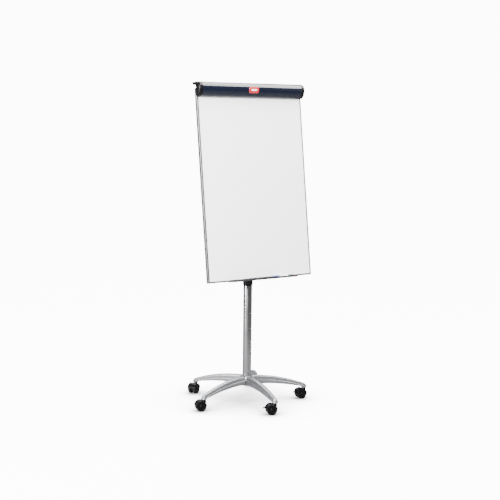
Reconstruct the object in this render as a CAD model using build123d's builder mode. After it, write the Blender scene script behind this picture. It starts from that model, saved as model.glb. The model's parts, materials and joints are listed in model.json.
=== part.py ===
"""Mobile flipchart easel: a whiteboard panel on a telescopic column with a five-legged castor base.

Millimetres, +Z up, origin on the floor under the column's axis. The writing side faces -Y and
+X is to the right of someone writing on it. Every part of the panel is drawn in board
coordinates: x along X, s up the board from its lower edge, d forward from the frame's face.
"""
import os
from math import cos, radians, sin

from build123d import *

os.makedirs("parts", exist_ok=True)

# ---- driving dimensions -------------------------------------------------------------------
# base
CASTOR_CIRCLE_R = 331.6   # stem axis to column axis
FIRST_LEG_ANGLE = 47.4
LEG_COUNT = 5
HUB_TOP_Z = 141.0
HUB_FLOOR_Z = 89.0
COLUMN_FOOT_Z = 100.0
STEM_BOSS_Z = 62.0
STEM_BOSS_R = 15.5
SOCKET_R = 8.0            # the stem's grip sleeve
SOCKET_L = 18.0
HUB_R = 37.0
HUB_RING_R = 31.0
HUB_BOLT_R = 5.3

# castors, drawn with the stem at the origin and the wheels trailing towards +X
WHEEL_R = 29.0
WHEEL_TRAIL = 20.0
WHEEL_WIDTH = 16.8
WHEEL_GAP = 8.2           # castor centre plane to a wheel's inner face
HOOD_R = 31.5
HOOD_WALL = 2.0
HOOD_HALF_WIDTH = 25.6
WEB_HALF_WIDTH = 7.4
STEM_R = 5.0
AXLE_R = 3.0
FREE_FIT = 0.1            # radial clearance of a pin that turns in its bore
TRAIL_ANGLES = (150.0, 205.0, 165.0, 160.0, 170.0)
BRAKED = (4, 5)           # castors that carry a foot lever
LEVER_PIVOT = (54.2, 40.5)
LEVER_BARREL_R = 3.2
LEVER_TRUNNION_R = 1.8
STEM_FOOT_Z = 36.0
STEM_HEAD_Z = 78.0
STEM_FLANGE_R = 9.0
STEM_FLANGE_T = 1.2
NECK_R = 11.0
NECK_FOOT_Z = 46.0
NECK_HEAD_Z = 60.6

# column
COLUMN_R = 25.0
COLUMN_WALL = 1.5
COLUMN_TOP_Z = 658.0
COLLAR_R = 28.5
COLLAR_TOP_Z = 735.0
KNOB_Z = 700.0
KNOB_STUD_R = 4.0
MAST_R = 20.0
MAST_WALL = 1.5
MAST_FOOT_Z = 440.0
MAST_TOP_Z = 1218.0
SLIDE_GAP = 0.3           # between surfaces that slide on each other

# board
TILT = 7.5                # lean back from vertical, degrees
BOARD_FOOT_Y = -133.5
BOARD_FOOT_Z = 712.4
FRAME_W = 690.0
FRAME_H = 1045.0
FRAME_DEPTH = 19.0
FRAME_FACE = 9.5
FRAME_LIP = 4.0
FRAME_WALL = 1.4
SHEET_T = 0.6
PIVOT_Y = -18.0
PIVOT_Z = 1250.0
PIVOT_BOLT_R = 5.0
BRACKET_T = 3.0
TONGUE_HALF = 12.0

# clamp bar, in board coordinates (d, s)
BAR_HALF = 326.0
BAR_END_HALF = 350.0
BAR_LOW_S = 997.0
BAR_TOP_S = 1077.0
BAR_WALL = 2.2
BAR_BACK_D = 0.5
HINGE_D = -4.0
HINGE_S = 1068.0
HINGE_PIN_R = 3.0
EAR_R = 8.0
BADGE_W = 64.0
BADGE_H = 34.0
BADGE_S = 1035.0
BADGE_T = 1.6

# pull-out display arms, pad pegs, pen tray and markers
ARM_D = -22.0
ARM_S = 1071.0
ARM_R = 4.0
ARM_INNER_X = 24.0
ARM_KNOB_R = 8.0
ARM_KNOB_X = 340.5
ARM_KNOB_T = 10.0
PEG_X = 210.0
PEG_S = 1022.0
PEG_R = 3.5
RAIL_HALF = 290.0
TRAY_HALF = 222.0
TRAY_DEPTH = 52.0
TRAY_LIP_S = 11.0
TRAY_WALL = 2.0
TRAY_CORNER_R = 14.0
MARKER_R = 7.0
MARKER_L = 104.0
MARKER_CAP_L = 44.0
MARKER_PLUG_L = 6.0

# ---- planes and small helpers ---------------------------------------------------------------
tilt = radians(TILT)
board_up = Vector(0, sin(tilt), cos(tilt))
board_out = Vector(0, -cos(tilt), sin(tilt))
board_foot = Vector(0, BOARD_FOOT_Y, BOARD_FOOT_Z)
board_plane = Plane(origin=board_foot, x_dir=(1, 0, 0), z_dir=board_out)   # local (x, s), normal d
side_plane = Plane(origin=board_foot, x_dir=board_out, z_dir=(-1, 0, 0))   # local (d, s), normal -X


def side_at(x):
    """The board's (d, s) plane standing at a given x; it extrudes towards -X."""
    return side_plane.offset(-x)


def save(piece, name):
    """Label a finished piece and write it under its node's name."""
    piece.part.label = name
    export_step(piece.part, f"parts/{name}.step")


# where the tilt bolt lies in board coordinates
pivot_arm = Vector(0, PIVOT_Y, PIVOT_Z) - board_foot
PIVOT_D = pivot_arm.dot(board_out)
PIVOT_S = pivot_arm.dot(board_up)

leg_angles = [FIRST_LEG_ANGLE + i * 360 / LEG_COUNT for i in range(LEG_COUNT)]
stem_spots = PolarLocations(CASTOR_CIRCLE_R, LEG_COUNT, start_angle=FIRST_LEG_ANGLE)

# ==== base ===================================================================================
# One leg lies along +X: a flange with a narrower spine on top, both cut to a tapered plan that
# ends in a round tip over the castor stem. The underside is hollow, as a casting is.


def leg_solid(top, bottom, hub_half, tip_half):
    """A leg layer between two arcs, cut to a plan that tapers from the hub to a round tip."""
    tip = CASTOR_CIRCLE_R + tip_half
    with BuildPart() as layer:
        with BuildSketch(Plane.XZ):
            with BuildLine():
                upper = ThreePointArc(*top)
                lower = ThreePointArc(*bottom)
                Line(upper @ 0, lower @ 0)
                Line(upper @ 1, lower @ 1)
            make_face()
        extrude(amount=60, both=True)
        with BuildSketch(Plane.XY):
            with BuildLine():
                Polyline((0, -hub_half), (CASTOR_CIRCLE_R, -tip_half))
                ThreePointArc((CASTOR_CIRCLE_R, -tip_half), (tip, 0), (CASTOR_CIRCLE_R, tip_half))
                Polyline((CASTOR_CIRCLE_R, tip_half), (0, hub_half), (0, -hub_half))
            make_face()
        extrude(amount=200, mode=Mode.INTERSECT)
    return layer


leg_under = ((0, 94), (207, 89), (360, 60))
flange = leg_solid(((0, 120), (207, 106), (360, 66)), leg_under, 23.0, 17.5)
spine = leg_solid(((0, HUB_TOP_Z + 1), (207, 124), (360, 76)), ((0, 96), (207, 91), (360, 62)), 19.0, 12.5)
with BuildPart() as rounded_spine:
    add(spine.part)
    crown = rounded_spine.faces().sort_by(Axis.Z)[-1]
    fillet(crown.edges().filter_by(lambda e: e.length > 30), radius=6)

with BuildPart() as leg_hollow:
    with BuildSketch(Plane.XZ):
        with BuildLine():
            roof = ThreePointArc((62, 134), (190, 121), (306, 90))
            sole = ThreePointArc((62, 60), (190, 60.5), (306, 60))
            Line(roof @ 0, sole @ 0)
            Line(roof @ 1, sole @ 1)
        make_face()
    extrude(amount=60, both=True)
    with BuildSketch(Plane.XY):
        with BuildLine():
            Polyline((62, -12.5), (306, -8.0), (306, 8.0), (62, 12.5), (62, -12.5))
        make_face()
    extrude(amount=200, mode=Mode.INTERSECT)

with BuildPart() as star_base:
    with PolarLocations(0, LEG_COUNT, start_angle=FIRST_LEG_ANGLE):
        add(flange.part)
        add(rounded_spine.part)
    with BuildSketch(Plane.XY.offset(HUB_FLOOR_Z)):
        Circle(HUB_R)
    extrude(amount=HUB_TOP_Z - HUB_FLOOR_Z)
    with BuildSketch(Plane.XY.offset(HUB_TOP_Z - 2)):
        Circle(HUB_RING_R)
    extrude(amount=4, taper=25)
    with BuildSketch(Plane.XY.offset(STEM_BOSS_Z)):
        with stem_spots:
            Circle(STEM_BOSS_R)
    extrude(amount=14)
    with PolarLocations(0, LEG_COUNT, start_angle=FIRST_LEG_ANGLE):
        add(leg_hollow.part, mode=Mode.SUBTRACT)
    with BuildSketch(Plane.XY.offset(STEM_BOSS_Z)):
        with stem_spots:
            Circle(SOCKET_R)
    extrude(amount=SOCKET_L, mode=Mode.SUBTRACT)
    with BuildSketch(Plane.XY.offset(COLUMN_FOOT_Z)):
        Circle(COLUMN_R)
    extrude(amount=60, mode=Mode.SUBTRACT)
    with BuildSketch(Plane.XY.offset(HUB_FLOOR_Z - 5)):
        Circle(HUB_BOLT_R)
    extrude(amount=20, mode=Mode.SUBTRACT)
save(star_base, "star_base")

# grip sleeves pressed into the leg tips
with BuildPart() as stem_sockets:
    with BuildSketch(Plane.XY.offset(STEM_BOSS_Z)):
        with stem_spots:
            Circle(SOCKET_R)
            Circle(STEM_R, mode=Mode.SUBTRACT)
    extrude(amount=SOCKET_L)
save(stem_sockets, "stem_sockets")

# castor stems: a plain pin with a flange under the leg tip
with BuildPart() as castor_stems:
    with BuildSketch(Plane.XY.offset(STEM_FOOT_Z)):
        with stem_spots:
            Circle(STEM_R)
    extrude(amount=STEM_HEAD_Z - STEM_FOOT_Z)
    with BuildSketch(Plane.XY.offset(STEM_BOSS_Z - STEM_FLANGE_T)):
        with stem_spots:
            Circle(STEM_FLANGE_R)
    extrude(amount=STEM_FLANGE_T)
save(castor_stems, "castor_stems")

# ==== castors ================================================================================
# Twin-wheel castors. One set is drawn at the origin, then each is turned to its trail direction.
axle_z = WHEEL_R
hood_plane = Plane(origin=(WHEEL_TRAIL, 0, axle_z), x_dir=(1, 0, 0), z_dir=(0, -1, 0))

with BuildPart() as hood_shape:
    with BuildSketch(hood_plane):
        Circle(HOOD_R)
        with Locations((0, -HOOD_R)):
            Rectangle(3 * HOOD_R, 2 * HOOD_R + 4, mode=Mode.SUBTRACT)
    extrude(amount=HOOD_HALF_WIDTH, both=True)
    fillet(hood_shape.edges().filter_by(GeomType.CIRCLE), radius=2.5)
    with BuildSketch(Plane.XY.offset(NECK_FOOT_Z)):
        Circle(NECK_R)
    extrude(amount=NECK_HEAD_Z - NECK_FOOT_Z)
    for side in (1, -1):
        with BuildSketch(hood_plane.offset(side * WEB_HALF_WIDTH)):
            Circle(HOOD_R - HOOD_WALL)
        extrude(amount=side * 40, mode=Mode.SUBTRACT)
    with BuildSketch(hood_plane):
        with Locations((0, -3)):
            Rectangle(2 * (HOOD_R - HOOD_WALL) - 4, 12)
    extrude(amount=WEB_HALF_WIDTH, both=True)
    with BuildSketch(Plane.XY.offset(35)):
        Circle(STEM_R + FREE_FIT)
    extrude(amount=40, mode=Mode.SUBTRACT)
    with BuildSketch(hood_plane):
        Circle(AXLE_R)
    extrude(amount=30, both=True, mode=Mode.SUBTRACT)

# lever ears stand on the back of a braked hood
lever_plane = Plane(origin=(LEVER_PIVOT[0], 0, LEVER_PIVOT[1]), x_dir=(1, 0, 0), z_dir=(0, -1, 0))
with BuildPart() as braked_hood_shape:
    add(hood_shape.part)
    for side in (1, -1):
        with BuildSketch(lever_plane.offset(side * WEB_HALF_WIDTH)):
            Circle(3.6)
            with Locations((-3, 0)):
                Rectangle(6, 7.2)
            Circle(LEVER_TRUNNION_R + FREE_FIT, mode=Mode.SUBTRACT)
        extrude(amount=side * 2.6)

# foot lever: a pad on a barrel whose ends turn in the ears
with BuildPart() as lever_shape:
    with BuildSketch(lever_plane):
        Circle(LEVER_BARREL_R)
    extrude(amount=7.1, both=True)
    with BuildSketch(lever_plane):
        Circle(LEVER_TRUNNION_R)
    extrude(amount=9.8, both=True)
    with BuildSketch(lever_plane):
        with BuildLine():
            Polyline((0, 2.6), (13, 0.6), (14, -1.6), (12.5, -3.2), (0, -2.6), (0, 2.6))
        make_face()
    extrude(amount=7.0, both=True)

with BuildPart() as axle_shape:
    with BuildSketch(hood_plane):
        Circle(AXLE_R)
    extrude(amount=WHEEL_GAP + WHEEL_WIDTH - 1.5, both=True)

# wheels: a crowned rim, a dished web and a hub, turned about the axle, one each side
with BuildPart() as wheel_shape:
    outer = WHEEL_GAP + WHEEL_WIDTH
    with BuildSketch(Plane.XY):
        with BuildLine():
            Polyline((AXLE_R + FREE_FIT, WHEEL_GAP), (8, WHEEL_GAP), (8, outer - 5), (22, outer - 5))
            Line((22, outer - 5), (22, WHEEL_GAP + 1))
            Polyline((22, WHEEL_GAP + 1), (WHEEL_R - 2, WHEEL_GAP + 1))
            ThreePointArc((WHEEL_R - 2, WHEEL_GAP + 1), (WHEEL_R, (WHEEL_GAP + outer) / 2), (WHEEL_R - 2, outer - 1))
            Polyline((WHEEL_R - 2, outer - 1), (22, outer - 1), (20, outer - 2.5), (9, outer - 2.5), (7, outer))
            Polyline((7, outer), (AXLE_R + FREE_FIT, outer), (AXLE_R + FREE_FIT, WHEEL_GAP))
        make_face()
    revolve(axis=Axis.Y)
with BuildPart() as wheel_pair:
    with Locations((WHEEL_TRAIL, 0, axle_z)):
        add(wheel_shape.part)
    mirror(about=Plane.XZ)

for number, (leg_angle, trail) in enumerate(zip(leg_angles, TRAIL_ANGLES), 1):
    a = radians(leg_angle)
    spot = Location((CASTOR_CIRCLE_R * cos(a), CASTOR_CIRCLE_R * sin(a), 0), (0, 0, trail))
    braked = number in BRAKED
    shapes = {
        "hood": braked_hood_shape if braked else hood_shape,
        "axle": axle_shape,
        "wheels": wheel_pair,
    }
    if braked:
        shapes["brake_lever"] = lever_shape
    for piece_name, shape in shapes.items():
        with BuildPart() as castor_piece:
            with Locations(spot):
                add(shape.part)
        save(castor_piece, f"castor_{number}_{piece_name}")

# ==== column =================================================================================
with BuildPart() as column_tube:
    with BuildSketch(Plane.XY.offset(COLUMN_FOOT_Z)):
        Circle(COLUMN_R)
        Circle(COLUMN_R - COLUMN_WALL, mode=Mode.SUBTRACT)
    extrude(amount=COLUMN_TOP_Z - COLUMN_FOOT_Z)
save(column_tube, "column_tube")

# threaded plug fixed in the tube's foot, and the bolt that draws it down on the hub floor
with BuildPart() as column_plug:
    with BuildSketch(Plane.XY.offset(COLUMN_FOOT_Z)):
        Circle(COLUMN_R - COLUMN_WALL)
        Circle(5.0, mode=Mode.SUBTRACT)
    extrude(amount=30)
save(column_plug, "column_plug")

with BuildPart() as column_bolt:
    with BuildSketch(Plane.XY.offset(HUB_FLOOR_Z)):
        Circle(5.0)
    extrude(amount=36)
    with BuildSketch(Plane.XY.offset(HUB_FLOOR_Z - 2)):
        Circle(11)
    extrude(amount=2)
    with BuildSketch(Plane.XY.offset(HUB_FLOOR_Z - 8.4)):
        RegularPolygon(8.5, 6, major_radius=False)
    extrude(amount=6.4)
save(column_bolt, "column_bolt")

# moulded collar on the tube's top, with a boss at the back for the height knob
bush_r = MAST_R + SLIDE_GAP
spigot_bottom = COLUMN_TOP_Z - 30
with BuildPart() as height_collar:
    with BuildSketch(Plane.XY.offset(COLUMN_TOP_Z)):
        Circle(COLLAR_R)
    extrude(amount=COLLAR_TOP_Z - COLUMN_TOP_Z)
    with BuildSketch(Plane.XZ.offset(-COLLAR_R + 4)):
        with Locations((0, KNOB_Z)):
            Circle(11)
    extrude(amount=-12)
    chamfer(height_collar.edges().group_by(Axis.Z)[0], length=7, length2=3)
    fillet(height_collar.edges().group_by(Axis.Z)[-1], radius=2)
    with BuildSketch(Plane.XY.offset(spigot_bottom)):
        Circle(COLUMN_R - COLUMN_WALL)
    extrude(amount=COLUMN_TOP_Z - spigot_bottom)
    with BuildSketch(Plane.XY.offset(spigot_bottom)):
        Circle(bush_r + 1.5)
    extrude(amount=COLLAR_TOP_Z - spigot_bottom, mode=Mode.SUBTRACT)
    with BuildSketch(Plane.XZ):
        with Locations((0, KNOB_Z)):
            Circle(KNOB_STUD_R + FREE_FIT)
    extrude(amount=-50, mode=Mode.SUBTRACT)
save(height_collar, "height_collar")

with BuildPart() as guide_bush:
    with BuildSketch(Plane.XY.offset(spigot_bottom)):
        Circle(bush_r + 1.5)
    extrude(amount=COLLAR_TOP_Z - spigot_bottom)
    with BuildSketch(Plane.XY.offset(COLLAR_TOP_Z)):
        Circle(bush_r + 4)
    extrude(amount=2.5)
    with BuildSketch(Plane.XY.offset(spigot_bottom)):
        Circle(bush_r)
    extrude(amount=120, mode=Mode.SUBTRACT)
    with BuildSketch(Plane.XZ):
        with Locations((0, KNOB_Z)):
            Circle(KNOB_STUD_R + FREE_FIT)
    extrude(amount=-50, mode=Mode.SUBTRACT)
save(guide_bush, "guide_bush")

# fluted clamping knob whose stud bears on the mast
with BuildPart() as height_knob:
    with BuildSketch(Plane.XZ.offset(-37)):
        with Locations((0, KNOB_Z)):
            Circle(18)
            with PolarLocations(19.5, 7):
                Circle(4, mode=Mode.SUBTRACT)
    extrude(amount=-20)
    fillet(height_knob.edges().group_by(Axis.Y)[-1], radius=2.5)
    with BuildSketch(Plane.XZ.offset(-(MAST_R + SLIDE_GAP))):
        with Locations((0, KNOB_Z)):
            Circle(KNOB_STUD_R)
    extrude(amount=-30)
save(height_knob, "height_knob")

# ==== mast ===================================================================================
with BuildPart() as mast_tube:
    with BuildSketch(Plane.XY.offset(MAST_FOOT_Z)):
        Circle(MAST_R)
        Circle(MAST_R - MAST_WALL, mode=Mode.SUBTRACT)
    extrude(amount=MAST_TOP_Z - MAST_FOOT_Z)
save(mast_tube, "mast_tube")

# nylon foot that centres the mast inside the column
with BuildPart() as mast_glide:
    with BuildSketch(Plane.XY.offset(MAST_FOOT_Z - 16)):
        Circle(COLUMN_R - COLUMN_WALL - SLIDE_GAP)
    extrude(amount=16)
    with BuildSketch(Plane.XY.offset(MAST_FOOT_Z)):
        Circle(MAST_R - MAST_WALL)
    extrude(amount=18)
    with BuildSketch(Plane.XY.offset(MAST_FOOT_Z - 20)):
        Circle(12)
    extrude(amount=60, mode=Mode.SUBTRACT)
save(mast_glide, "mast_glide")

# cast head: a spigot in the mast, a collar on its rim and a tongue round the tilt bolt
pivot_plane = Plane(origin=(0, PIVOT_Y, PIVOT_Z), x_dir=(0, 1, 0), z_dir=(1, 0, 0))
with BuildPart() as tilt_head:
    with BuildSketch(Plane.XY.offset(MAST_TOP_Z - 30)):
        Circle(MAST_R - MAST_WALL)
    extrude(amount=30)
    with BuildSketch(Plane.XY.offset(MAST_TOP_Z)):
        Circle(MAST_R + 1.5)
    extrude(amount=8)
    chamfer(tilt_head.edges().group_by(Axis.Z)[-1], length=2)
    with BuildSketch(pivot_plane):
        with BuildLine():
            Polyline((-2, -26), (36, -26), (32, -14), (6, 15))
            ThreePointArc((6, 15), (-12, 11), (-15.5, -4))
            Line((-15.5, -4), (-2, -26))
        make_face()
        Circle(16)
    extrude(amount=TONGUE_HALF, both=True)
    with BuildSketch(pivot_plane):
        Circle(PIVOT_BOLT_R + FREE_FIT)
    extrude(amount=30, both=True, mode=Mode.SUBTRACT)
save(tilt_head, "tilt_head")

# ==== board ==================================================================================
# frame members: an aluminium section with a hollow outer chamber and a groove for the panel
panel_front = -FRAME_WALL
panel_back = -(FRAME_DEPTH - FRAME_WALL)
inner_half = FRAME_W / 2 - FRAME_FACE + FRAME_LIP
inner_low = FRAME_FACE - FRAME_LIP
inner_high = FRAME_H - inner_low
chamber_in = FRAME_FACE - FRAME_LIP - 1.2


def frame_section():
    """The section in the sketch at hand: outer edge at x = 0, the panel's groove towards +x, depth along +y."""
    with Locations((FRAME_FACE / 2, FRAME_DEPTH / 2)):
        Rectangle(FRAME_FACE, FRAME_DEPTH)
    with Locations((FRAME_FACE - FRAME_LIP / 2, FRAME_DEPTH / 2)):
        Rectangle(FRAME_LIP, FRAME_DEPTH - 2 * FRAME_WALL, mode=Mode.SUBTRACT)
    with Locations(((FRAME_WALL + chamber_in) / 2, FRAME_DEPTH / 2)):
        Rectangle(chamber_in - FRAME_WALL, FRAME_DEPTH - 2 * FRAME_WALL, mode=Mode.SUBTRACT)


def frame_member(origin, along, inward, length):
    """One mitred member that starts at a frame corner and runs along one side."""
    with BuildPart() as member:
        with BuildSketch(Plane(origin=origin, x_dir=inward, z_dir=along)):
            frame_section()
        extrude(amount=length)
        corner = Vector(*origin)
        far = corner + along * length
        for end, inwards in ((corner, along), (far, -along)):
            cut = Plane(origin=end, x_dir=board_out, z_dir=(inwards - inward).normalized())
            split(bisect_by=cut, keep=Keep.TOP)
    return member


x_unit = Vector(1, 0, 0)
low_left = board_foot - x_unit * (FRAME_W / 2)
low_right = board_foot + x_unit * (FRAME_W / 2)
high_left = low_left + board_up * FRAME_H
high_right = low_right + board_up * FRAME_H
for member_name, start, along, inward, length in (
    ("frame_left", low_left, board_up, x_unit, FRAME_H),
    ("frame_right", high_right, -board_up, -x_unit, FRAME_H),
    ("frame_bottom", low_right, -x_unit, board_up, FRAME_W),
    ("frame_top", high_left, x_unit, -board_up, FRAME_W),
):
    save(frame_member(start, along, inward, length), member_name)

# L-shaped keys inside the chambers hold the mitred corners together
key_t = 2.5
key_leg = 30.0
key_in = (FRAME_WALL + chamber_in - key_t) / 2
with BuildPart() as corner_keys:
    with BuildSketch(board_plane.offset(-FRAME_DEPTH / 2)):
        for side in (-1, 1):
            edge_x = side * (FRAME_W / 2 - key_in)
            for edge_s, up in ((key_in, 1), (FRAME_H - key_in, -1)):
                with Locations((edge_x - side * key_t / 2, edge_s + up * key_leg / 2)):
                    Rectangle(key_t, key_leg)
                with Locations((edge_x - side * key_leg / 2, edge_s + up * key_t / 2)):
                    Rectangle(key_leg, key_t)
    extrude(amount=7, both=True)
save(corner_keys, "corner_keys")

# the panel: enamelled steel sheet in front, honeycomb core, galvanised sheet behind
panel_s = (inner_low + inner_high) / 2
bracket_spots = [(x, PIVOT_S + s) for x in (-64, 64) for s in (-90, 90)]


def panel_layer(front, back, hole_r):
    """One layer of the panel between two depths, drilled for the bracket's screws."""
    with BuildPart() as layer:
        with BuildSketch(board_plane.offset(back)):
            with Locations((0, panel_s)):
                Rectangle(2 * inner_half, inner_high - inner_low)
            if hole_r:
                with Locations(*bracket_spots):
                    Circle(hole_r, mode=Mode.SUBTRACT)
        extrude(amount=front - back)
    return layer


screw_r = 2.5
save(panel_layer(panel_front, panel_front - SHEET_T, 0), "writing_sheet")
save(panel_layer(panel_front - SHEET_T, panel_back + SHEET_T, screw_r), "board_core")
save(panel_layer(panel_back + SHEET_T, panel_back, screw_r), "backing_sheet")

# folded bracket screwed to the back of the panel, with two ears round the tilt bolt
plate_back = panel_back - BRACKET_T
ear_in = TONGUE_HALF + 0.4
ear_out = ear_in + 4
with BuildPart() as tilt_bracket:
    with BuildSketch(board_plane.offset(plate_back)):
        with Locations((0, PIVOT_S)):
            RectangleRounded(170, 230, 12)
        with Locations(*bracket_spots):
            Circle(screw_r, mode=Mode.SUBTRACT)
    extrude(amount=BRACKET_T)
    for x in (ear_out, -ear_in):
        with BuildSketch(side_at(x)):
            ear = [(plate_back, PIVOT_S - 34), (PIVOT_D - 5, PIVOT_S - 12), (PIVOT_D - 5, PIVOT_S + 12)]
            with BuildLine():
                Polyline(*ear, (plate_back, PIVOT_S + 34), ear[0])
            make_face()
            with Locations((PIVOT_D, PIVOT_S)):
                Circle(13)
                Circle(PIVOT_BOLT_R, mode=Mode.SUBTRACT)
        extrude(amount=4)
save(tilt_bracket, "tilt_bracket")

with BuildPart() as bracket_screws:
    with BuildSketch(board_plane.offset(plate_back)):
        with Locations(*bracket_spots):
            Circle(screw_r)
    extrude(amount=13)
    with BuildSketch(board_plane.offset(plate_back)):
        with Locations(*bracket_spots):
            Circle(5)
    extrude(amount=-2.6)
    fillet(bracket_screws.edges().filter_by(GeomType.CIRCLE).filter_by(lambda e: e.radius > 4), radius=1)
save(bracket_screws, "bracket_screws")

# tilt bolt through the ears and the mast's tongue, with its clamping knob
bolt_end_x = 38.0
with BuildPart() as tilt_bolt:
    with BuildSketch(side_at(bolt_end_x)):
        with Locations((PIVOT_D, PIVOT_S)):
            Circle(PIVOT_BOLT_R)
    extrude(amount=bolt_end_x + ear_out + 3)
    with BuildSketch(side_at(-ear_out)):
        with Locations((PIVOT_D, PIVOT_S)):
            RegularPolygon(8.5, 6, major_radius=False)
    extrude(amount=6.4)
save(tilt_bolt, "tilt_bolt")

with BuildPart() as tilt_knob:
    with BuildSketch(side_at(44)):
        with Locations((PIVOT_D, PIVOT_S)):
            Circle(20)
            with PolarLocations(21.5, 7):
                Circle(4.2, mode=Mode.SUBTRACT)
    extrude(amount=20)
    fillet(tilt_knob.edges().group_by(Axis.X)[-1], radius=2.5)
    with BuildSketch(side_at(26)):
        with Locations((PIVOT_D, PIVOT_S)):
            Circle(11)
    extrude(amount=26 - ear_out - 0.5)
    with BuildSketch(side_at(bolt_end_x + 1)):
        with Locations((PIVOT_D, PIVOT_S)):
            Circle(PIVOT_BOLT_R + FREE_FIT)
    extrude(amount=40, mode=Mode.SUBTRACT)
save(tilt_knob, "tilt_knob")

# pen tray: a shallow trough across the frame's lower edge, its lip easing down to the ends
trough_plane = Plane(origin=board_foot, x_dir=(1, 0, 0), z_dir=board_up)   # local (x, -d), normal s


def trough(half, back, front, corner_r):
    """The plan of the tray in the sketch at hand, with its two front corners rounded."""
    with Locations((0, -(back + front) / 2)):
        outline = Rectangle(2 * half, front - back)
    fillet(outline.vertices().group_by(Axis.Y)[0], radius=corner_r)


with BuildPart() as pen_tray:
    with BuildSketch(trough_plane.offset(-TRAY_WALL)):
        trough(TRAY_HALF, 0, TRAY_DEPTH, TRAY_CORNER_R)
    extrude(amount=TRAY_WALL + TRAY_LIP_S + 3)
    with BuildSketch(trough_plane):
        trough(TRAY_HALF - TRAY_WALL, TRAY_WALL, TRAY_DEPTH - TRAY_WALL, TRAY_CORNER_R - TRAY_WALL)
    extrude(amount=30, mode=Mode.SUBTRACT)
    with BuildSketch(board_plane):
        with BuildLine():
            Polyline((-70, TRAY_LIP_S), (70, TRAY_LIP_S), (250, 4), (250, -10))
            Polyline((250, -10), (-250, -10), (-250, 4), (-70, TRAY_LIP_S))
        make_face()
    extrude(amount=80, both=True, mode=Mode.INTERSECT)
save(pen_tray, "pen_tray")

# pad rail: a slotted strip under the clamp bar, and the two pegs that slide in it
slot_half = 4.0
mouth_half = 2.2
rail_front = 4.6
slot_back = 0.2
slot_front = 2.8
with BuildPart() as pad_rail:
    with BuildSketch(side_plane):
        with Locations(((panel_front + rail_front) / 2, PEG_S)):
            Rectangle(rail_front - panel_front, 18)
        with Locations(((slot_back + slot_front) / 2, PEG_S)):
            Rectangle(slot_front - slot_back, 2 * slot_half, mode=Mode.SUBTRACT)
        with Locations((rail_front, PEG_S)):
            Rectangle(2 * (rail_front - slot_front), 2 * mouth_half, mode=Mode.SUBTRACT)
    extrude(amount=RAIL_HALF, both=True)
save(pad_rail, "pad_rail")

for side, peg_name in ((-1, "peg_left"), (1, "peg_right")):
    peg_spot = (side * PEG_X, PEG_S)
    with BuildPart() as peg:
        with BuildSketch(board_plane.offset(slot_back + SLIDE_GAP)):
            with Locations(peg_spot):
                Rectangle(12, 2 * (slot_half - SLIDE_GAP))
        extrude(amount=slot_front - slot_back - 2 * SLIDE_GAP)
        with BuildSketch(board_plane.offset(slot_back + SLIDE_GAP)):
            with Locations(peg_spot):
                Rectangle(9, 2 * (mouth_half - SLIDE_GAP))
        extrude(amount=6)
        with BuildSketch(board_plane.offset(rail_front + SLIDE_GAP)):
            with Locations(peg_spot):
                Circle(7)
        extrude(amount=1.8)
        with BuildSketch(board_plane.offset(rail_front + SLIDE_GAP)):
            with Locations(peg_spot):
                Circle(PEG_R)
        extrude(amount=11)
    save(peg, peg_name)

# moulded blocks on top of the frame carry the bar's hinge pins and guide the display arms
block_in = 300.0
block_out = 325.0
block_nose_r = 6.0
block_boss_r = 7.2


def block_profile():
    """The outline of a top block in a (d, s) sketch, without its bores."""
    with Locations((-11.5, (FRAME_H + HINGE_S) / 2)):
        Rectangle(21, HINGE_S - FRAME_H)
    with Locations((ARM_D, ARM_S)):
        Circle(block_boss_r)
    with Locations((ARM_D + 3, ARM_S - 4)):
        Rectangle(12, 8)


with BuildPart() as hinge_blocks:
    for x in (block_out, -block_in):
        with BuildSketch(side_at(x)):
            block_profile()
            with Locations((HINGE_D, HINGE_S)):
                Circle(block_nose_r)
                Circle(HINGE_PIN_R, mode=Mode.SUBTRACT)
            with Locations((ARM_D, ARM_S)):
                Circle(ARM_R + SLIDE_GAP, mode=Mode.SUBTRACT)
        extrude(amount=block_out - block_in)
save(hinge_blocks, "hinge_blocks")

pin_end = 341.0
with BuildPart() as hinge_pins:
    for x in (pin_end, -block_in):
        with BuildSketch(side_at(x)):
            with Locations((HINGE_D, HINGE_S)):
                Circle(HINGE_PIN_R)
        extrude(amount=pin_end - block_in)
save(hinge_pins, "hinge_pins")

# middle block that holds the inner ends of both arms
rest_half = 42.0
with BuildPart() as arm_rest:
    with BuildSketch(side_at(rest_half)):
        block_profile()
        with Locations((ARM_D, ARM_S)):
            Circle(ARM_R + SLIDE_GAP, mode=Mode.SUBTRACT)
    extrude(amount=2 * rest_half)
save(arm_rest, "arm_rest")

# pull-out arms for finished sheets: a rod and an end knob on each side
for side, side_name in ((-1, "left"), (1, "right")):
    rod_outer = ARM_KNOB_X + 6
    with BuildPart() as arm_rod:
        with BuildSketch(side_at(max(side * ARM_INNER_X, side * rod_outer))):
            with Locations((ARM_D, ARM_S)):
                Circle(ARM_R)
        extrude(amount=rod_outer - ARM_INNER_X)
    save(arm_rod, f"arm_rod_{side_name}")
    knob_outer = ARM_KNOB_X + ARM_KNOB_T
    with BuildPart() as arm_knob:
        with BuildSketch(side_at(max(side * ARM_KNOB_X, side * knob_outer))):
            with Locations((ARM_D, ARM_S)):
                Circle(ARM_KNOB_R)
        extrude(amount=ARM_KNOB_T)
        outer_rim = arm_knob.edges().filter_by(GeomType.CIRCLE).sort_by(Axis.X)
        fillet(outer_rim[-1] if side > 0 else outer_rim[0], radius=3)
        fillet(outer_rim[0] if side > 0 else outer_rim[-1], radius=1.5)
        with BuildSketch(side_at(max(side * ARM_INNER_X, side * rod_outer))):
            with Locations((ARM_D, ARM_S)):
                Circle(ARM_R)
        extrude(amount=rod_outer - ARM_INNER_X, mode=Mode.SUBTRACT)
    save(arm_knob, f"arm_knob_{side_name}")

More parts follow.
